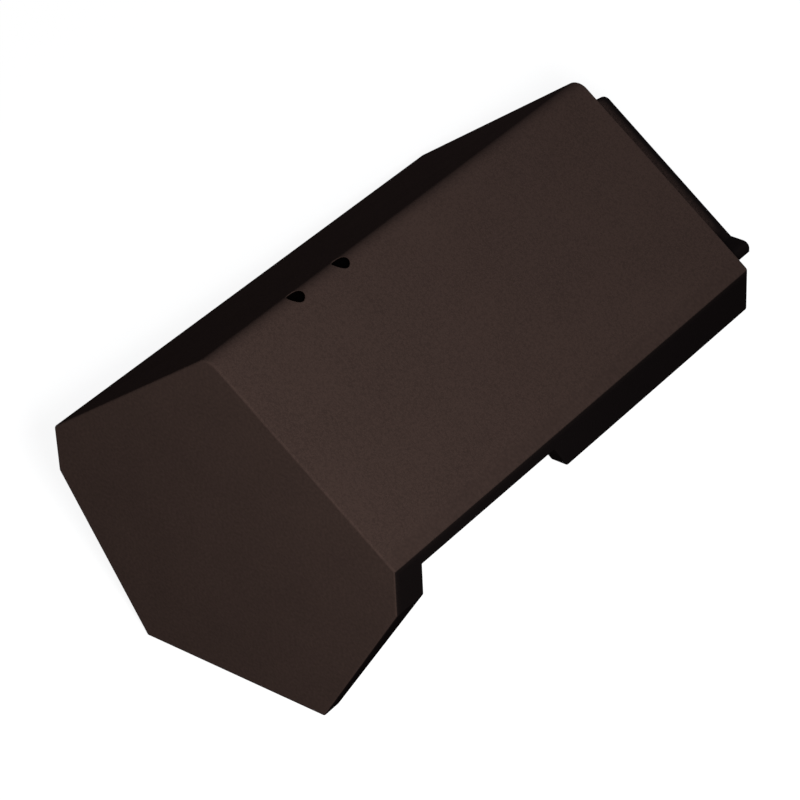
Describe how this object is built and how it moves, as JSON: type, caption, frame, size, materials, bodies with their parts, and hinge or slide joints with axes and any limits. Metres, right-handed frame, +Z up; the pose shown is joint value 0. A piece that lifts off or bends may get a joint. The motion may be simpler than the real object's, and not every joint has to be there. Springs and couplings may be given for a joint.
{
  "type": "ridge end tile",
  "caption": "Angular ridge end tile in dark concrete: closed seven-sided end plate, notched skirts, screw holes through the ridge and a rebated tail for the next ridge tile.",
  "frame": {"origin": "bottom centre of the tile's box as it lies on a level floor, on the foot of the end plate and the back ends of the two skirts", "axes": "+X across the ridge, to the right as seen from the end plate; +Y level, from the end plate towards the tail; +Z up from the floor. The ridge climbs towards the end plate at 16.05 degrees, so the tile's own up is (0, 0.2765, 0.9610)."},
  "size_m": [0.273, 0.4756, 0.2399],
  "materials": {
    "concrete": "smooth matt coating, dark brown"
  },
  "bodies": {
    "root": {"ridge_end_tile": "concrete"}
  },
  "joints": []
}
